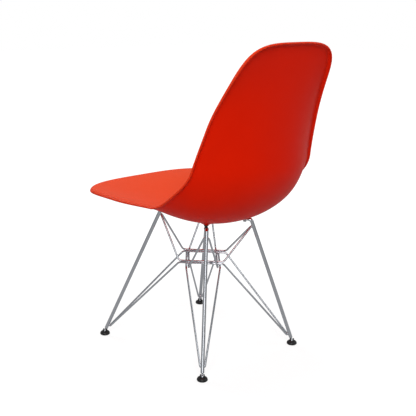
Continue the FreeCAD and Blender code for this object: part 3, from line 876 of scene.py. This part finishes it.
def copies_tree():
    """A copy of a piece at each of the object's points, turned and sized by the points' attributes."""
    tree, given = geometry_tree("copies_at_places", {
        "Places": "Geometry",
        "Piece": "Object",
        "Unevenness": "Float",
        "Lumps per metre": "Float",
        "Seed": "Int",
        "Finish": "Material",
    })
    turn = put(tree, "FunctionNodeEulerToRotation", {"Euler": mark(tree, "turn", "FLOAT_VECTOR")}).outputs[0]
    size = mark(tree, "size", "FLOAT_VECTOR")
    piece = put(tree, "GeometryNodeObjectInfo", {"Object": given["Piece"]}).outputs["Geometry"]
    laid = {"Points": given["Places"], "Instance": piece, "Rotation": turn, "Scale": size}
    copies = put(tree, "GeometryNodeInstanceOnPoints", laid).outputs["Instances"]
    real = put(tree, "GeometryNodeRealizeInstances", {"Geometry": copies}).outputs["Geometry"]
    place = put(tree, "GeometryNodeInputPosition").outputs[0]
    lumpy = {"Vector": place, "W": given["Seed"], "Scale": given["Lumps per metre"], "Detail": 2.0}
    lumps = put(tree, "ShaderNodeTexNoise", lumpy, noise_dimensions="4D").outputs[0]
    height = reckon(tree, "MULTIPLY", reckon(tree, "SUBTRACT", lumps, 0.5), given["Unevenness"])
    outwards = steer(tree, "SCALE", put(tree, "GeometryNodeInputNormal").outputs[0], height)
    moved = put(tree, "GeometryNodeSetPosition", {"Geometry": real, "Offset": outwards})
    return finish_tree(tree, moved.outputs["Geometry"], given["Finish"])


copies_at_places = copies_tree()


def copies(name, piece_mesh, places, finish, unevenness=0.0, lumps=0.0, seed=0):
    """One mesh with a copy of a piece at each place: a point, its turn and its size."""
    piece = placed(name + "_piece", piece_mesh)
    spots, turns, sizes = zip(*places)
    points = line_mesh(name, spots)
    for key, values in (("turn", turns), ("size", sizes)):
        points.attributes.new(key, "FLOAT_VECTOR", "POINT").data.foreach_set("vector", np.ravel(values))
    mesh = grown(
        name,
        points,
        copies_at_places,
        {"Piece": piece, "Unevenness": unevenness, "Lumps per metre": lumps, "Seed": seed, "Finish": finish},
    )
    bpy.data.objects.remove(piece)
    return mesh


def facing_turn(along, out):
    """The turn that takes X to one direction and Z to another across it."""
    along = along.normalized()
    out = (out - along * out.dot(along)).normalized()
    return Matrix((along, out.cross(along), out)).transposed().to_euler()


# Pair B's wires cross under pair A's lower loop, and pair A's two loops are joined over them.
upward = Vector((0, 0, 1))
bead_places = []
for touch, line, inward in leg_welds:
    bead_places.append((touch, facing_turn(line.cross(inward), inward), leg_bead))
a_start, a_end, a_spread, a_shift, _, a_level, _ = loops["lower_a"]
a_course, a_across, a_middle = loop_frame(a_start, a_end, a_shift)
flat_turn = facing_turn(a_course, upward)
for name in ("upper_b", "lower_b"):
    b_start, b_end, b_spread, b_shift, *_ = loops[name]
    b_course, b_across, b_middle = loop_frame(b_start, b_end, b_shift)
    for b_side in (-1, 1):
        on_b = b_middle + b_across * (b_spread * b_side)
        for a_side in (-1, 1):
            on_a = a_middle + a_across * (a_spread * a_side)
            reach = (on_b - on_a).xy.cross(b_course.xy) / a_course.xy.cross(b_course.xy)
            crossing = on_a + a_course * reach
            bead_places.append((crossing + upward * (a_level - wire_radius), flat_turn, crossing_bead))
            if name == "upper_b":
                bead_places.append((crossing + upward * (a_level + wire_radius), flat_turn, stack_bead))

bead = bmesh.new()
bmesh.ops.create_icosphere(bead, subdivisions=4, radius=1.0)
bead_mesh = bpy.data.meshes.new("bead")
bead.to_mesh(bead_mesh)
bead.free()
bead_mesh = copies("weld_beads", bead_mesh, bead_places, chrome, unevenness=0.0007, lumps=420.0, seed=3)
beads = placed("weld_beads", bead_mesh)
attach(beads, "chair")

# Dampers.
# A black rubber bush sits between each leg's tab and its cone, so that the shell can give a little. It
# has a wide flange against the plastic, a waist, and a narrow lip on the steel.
damper_rubber = patchy_finish(
    "black_rubber",
    tones=((0.008, 0.008, 0.008, 1.0), (0.022, 0.021, 0.021, 1.0)),
    patches=(500.0, 4.0),
    roughness=(0.65, 0.85),
    relief=(0.2, 0.0002),
)
damper_profile = [
    (0.0, 0.0040), (0.0002, 0.0043), (0.0009, 0.0044), (0.0013, 0.0040), (0.0018, 0.0037),
    (0.0030, 0.0035), (0.0042, 0.0036), (0.0049, 0.0041), (0.0053, 0.0051), (0.0055, 0.0058),
    (0.0058, 0.0061), (0.0063, 0.0062), (0.0075, 0.0062), (0.0078, 0.0061), (damper_height, 0.0058),
]
upright = (0.0, 0.0, 0.0)
full_size = (1.0, 1.0, 1.0)
damper_mesh = turned("damper", damper_profile, Vector(), upward, 48)
damper_places = []
for corner in corners.values():
    damper_places.append((corner["screw"] + upward * (tab_thickness / 2), upright, full_size))
dampers = placed("rubber_bushes", copies("rubber_bushes", damper_mesh, damper_places, damper_rubber))
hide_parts(*["damper_" + name for name in corners])
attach(dampers, "chair")

# Spring washers and mounting screws.
# Zinc-plated steel. A socket screw goes up through each tab and bush into the brass insert, and a
# split spring washer under its head keeps it tight.
washer_thickness = 0.0012
washer_inner = 0.00265
washer_steps = 73
washer_half_gap = 4
washer_spring = 0.0002
washer_round = 0.00012
head_radius = 0.0046
head_height = 0.003
socket_reach = 0.00195
socket_depth = 0.0018
shank_radius = 0.0025
shank_length = washer_thickness + tab_thickness + damper_height + 0.0065

zinc = patchy_finish(
    "zinc_plate",
    tones=((0.4, 0.41, 0.43, 1.0), (0.58, 0.59, 0.62, 1.0)),
    patches=(700.0, 4.0),
    roughness=(0.25, 0.42),
    metallic=1.0,
    relief=(0.1, 0.0001),
)

screw_turn = np.linspace(0, 2 * math.pi, 48, endpoint=False)
six_sided = math.cos(math.pi / 6) / np.cos((screw_turn + math.pi / 6) % (math.pi / 3) - math.pi / 6)


def level_ring(radius, height):
    """A level ring of the screw. Its radius is one number, or one for each of its points."""
    x = radius * np.cos(screw_turn)
    y = radius * np.sin(screw_turn)
    return np.stack([x, y, 0 * x + height], axis=-1)


# The screw's rings run from the floor of its socket, out over the head's rounded rim, and up the shank
# to its chamfered tip. The head's upper face is at height 0.
screw_profile = [
    (socket_reach * six_sided, socket_depth - head_height),
    (socket_reach * six_sided, 0.00015 - head_height),
    (socket_reach * (six_sided + 0.1), -head_height),
    (0.003, -head_height),
    (0.0036, -0.00293),
    (0.0041, -0.0027),
    (0.00445, -0.0023),
    (head_radius, -0.0017),
    (head_radius, -0.0003),
    (0.00448, -0.00008),
    (0.0043, 0.0),
    (0.0027, 0.0),
    (shank_radius, 0.0002),
    (shank_radius, shank_length - 0.0006),
    (0.0019, shank_length),
]
screw_mesh = closed_rings("screw", [level_ring(radius, height) for radius, height in screw_profile])

# The washer's section has rounded corners, and climbs a little from one side of the split to the other.
section_middle = (head_radius + washer_inner) / 2
section_half_wide = (head_radius - washer_inner) / 2 - washer_round
section_half_high = 0.0005 - washer_round
section = []
for quarter, wide_sign, high_sign in ((0, 1, 1), (1, -1, 1), (2, -1, -1), (3, 1, -1)):
    for step in range(4):
        angle = math.pi / 2 * (quarter + step / 3)
        wide = wide_sign * section_half_wide + washer_round * math.cos(angle)
        high = high_sign * section_half_high + washer_round * math.sin(angle)
        section.append((section_middle + wide, high))
washer_rings = []
for t in np.linspace(0, 1, washer_steps):
    around = math.radians(washer_half_gap + (360 - 2 * washer_half_gap) * t)
    lift = (t - 0.5) * washer_spring
    ring = [(radius * math.cos(around), radius * math.sin(around), high + lift) for radius, high in section]
    washer_rings.append(np.array(ring))
washer_mesh = closed_rings("washer", washer_rings)

# Each screw and each split has come to rest at its own turn.
screw_places = []
washer_places = []
for i, corner in enumerate(corners.values()):
    seat = corner["screw"] - upward * (tab_thickness / 2 + washer_thickness)
    screw_places.append((seat, (0.0, 0.0, 0.4 + 1.3 * i), full_size))
    washer_places.append((seat + upward * (washer_thickness / 2), (0.0, 0.0, 2.1 + 1.7 * i), full_size))
screws = placed("socket_screws", copies("socket_screws", screw_mesh, screw_places, zinc))
washers = placed("split_washers", copies("split_washers", washer_mesh, washer_places, zinc))
for piece, node in ((screws, "mount_screw_"), (washers, "spring_washer_")):
    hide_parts(*[node + name for name in corners])
    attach(piece, "chair")

# Glides.
# Black moulded feet. Each has a flat sole, a thin rounded rim and a domed top, and its collar, slotted
# into four fingers, snaps over the leg's ball, so that the foot tilts to lie flat on the floor.
glide_radius = 0.0138
dome_foot_height = 0.0042
dome_swell = 0.0015
dome_steps = 14
socket_radius = 0.0055
mouth_radius = 0.0048
collar_base = (0.0074, 0.0096)
collar_top = (0.0068, 0.0154)
slot_half = 0.0033
slot_bottom = 0.0104
finger_points = 48
finger_roundings = 3

glide_plastic = patchy_finish(
    "black_moulding",
    tones=((0.006, 0.006, 0.007, 1.0), (0.016, 0.016, 0.017, 1.0)),
    patches=(260.0, 5.0),
    roughness=(0.3, 0.5),
    relief=(0.1, 0.0001),
    grain=(2500.0, 2.0),
)

# The turned part runs from the sole over the rim and the dome to the slots' floor, and down into the
# socket. Each pair is a height and a radius.
glide_profile = [
    (0.0, 0.0112), (0.0, 0.0118), (0.0001, 0.0121), (0.0004, 0.01245), (0.0015, 0.0135),
    (0.0019, 0.01372), (0.0024, glide_radius), (0.0036, glide_radius), (0.004, 0.01374), (0.0043, 0.0136),
]
dome_foot = np.array([glide_radius, dome_foot_height])
dome_outwards = np.array([0.64, 0.77])
for t in np.linspace(0.06, 0.97, dome_steps):
    dome = (1 - t) * dome_foot + t * np.array(collar_base)
    dome = dome + math.sin(math.pi * t) * dome_swell * dome_outwards
    glide_profile.append((dome[1], dome[0]))
glide_profile += [(0.0098, 0.0074), (0.0102, 0.00734), (slot_bottom, 0.0072), (slot_bottom, 0.0056)]
for turn in np.linspace(0, math.radians(86), 12):
    glide_profile.append((ball_height - socket_radius * math.sin(turn), socket_radius * math.cos(turn)))


def finger_ring(height, inset):
    """The outline of one collar finger at a height, with its slots along X and Y."""
    part = (height - collar_base[1]) / (collar_top[1] - collar_base[1])
    outer = collar_base[0] + (collar_top[0] - collar_base[0]) * part - inset
    inner = max(mouth_radius, math.sqrt(max(socket_radius ** 2 - (height - ball_height) ** 2, 0))) + inset
    wall = slot_half + inset
    outer_turn = math.asin(wall / outer)
    inner_turn = math.asin(min(wall / inner, math.sqrt(0.5)))
    inner = max(inner, wall * math.sqrt(2))
    outer_turns = np.linspace(outer_turn, math.pi / 2 - outer_turn, 16)
    inner_turns = np.linspace(math.pi / 2 - inner_turn, inner_turn, 12)
    x = np.concatenate([outer * np.cos(outer_turns), inner * np.cos(inner_turns)])
    y = np.concatenate([outer * np.sin(outer_turns), inner * np.sin(inner_turns)])
    x, y = evenly_round(x, y, finger_points)
    for _ in range(finger_roundings):
        x = (np.roll(x, 1) + 2 * x + np.roll(x, -1)) / 4
        y = (np.roll(y, 1) + 2 * y + np.roll(y, -1)) / 4
    return np.stack([x, y, 0 * x + height - ball_height], axis=-1)


# A finger's rings are heights with how far the outline is drawn in there, for its rounded tip.
finger_steps = [
    (0.0101, 0.0), (0.0112, 0.0), (0.0125, 0.0), (0.0138, 0.0), (0.0146, 0.0),
    (0.015, 0.00006), (0.01525, 0.0002), (0.01538, 0.0004), (collar_top[1], 0.0006),
]
finger_mesh = closed_rings("finger", [finger_ring(height, inset) for height, inset in finger_steps])
for name, corner in corners.items():
    sole_middle = Vector((corner["ball"].x, corner["ball"].y, 0))
    base = turned("glide_base", glide_profile, sole_middle, upward, 96)
    inward = waist_middle - sole_middle
    first = math.atan2(inward.y, inward.x)
    places = [(corner["ball"], (0.0, 0.0, first + math.pi / 2 * k), full_size) for k in range(4)]
    fingers = copies("glide_fingers", finger_mesh, places, glide_plastic)
    glide = placed("moulded_foot_" + name, one_mesh("moulded_foot_" + name, [base, fingers]))
    glide.data.materials.append(glide_plastic)
    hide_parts("glide_" + name)
    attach(glide, "glide_" + name)
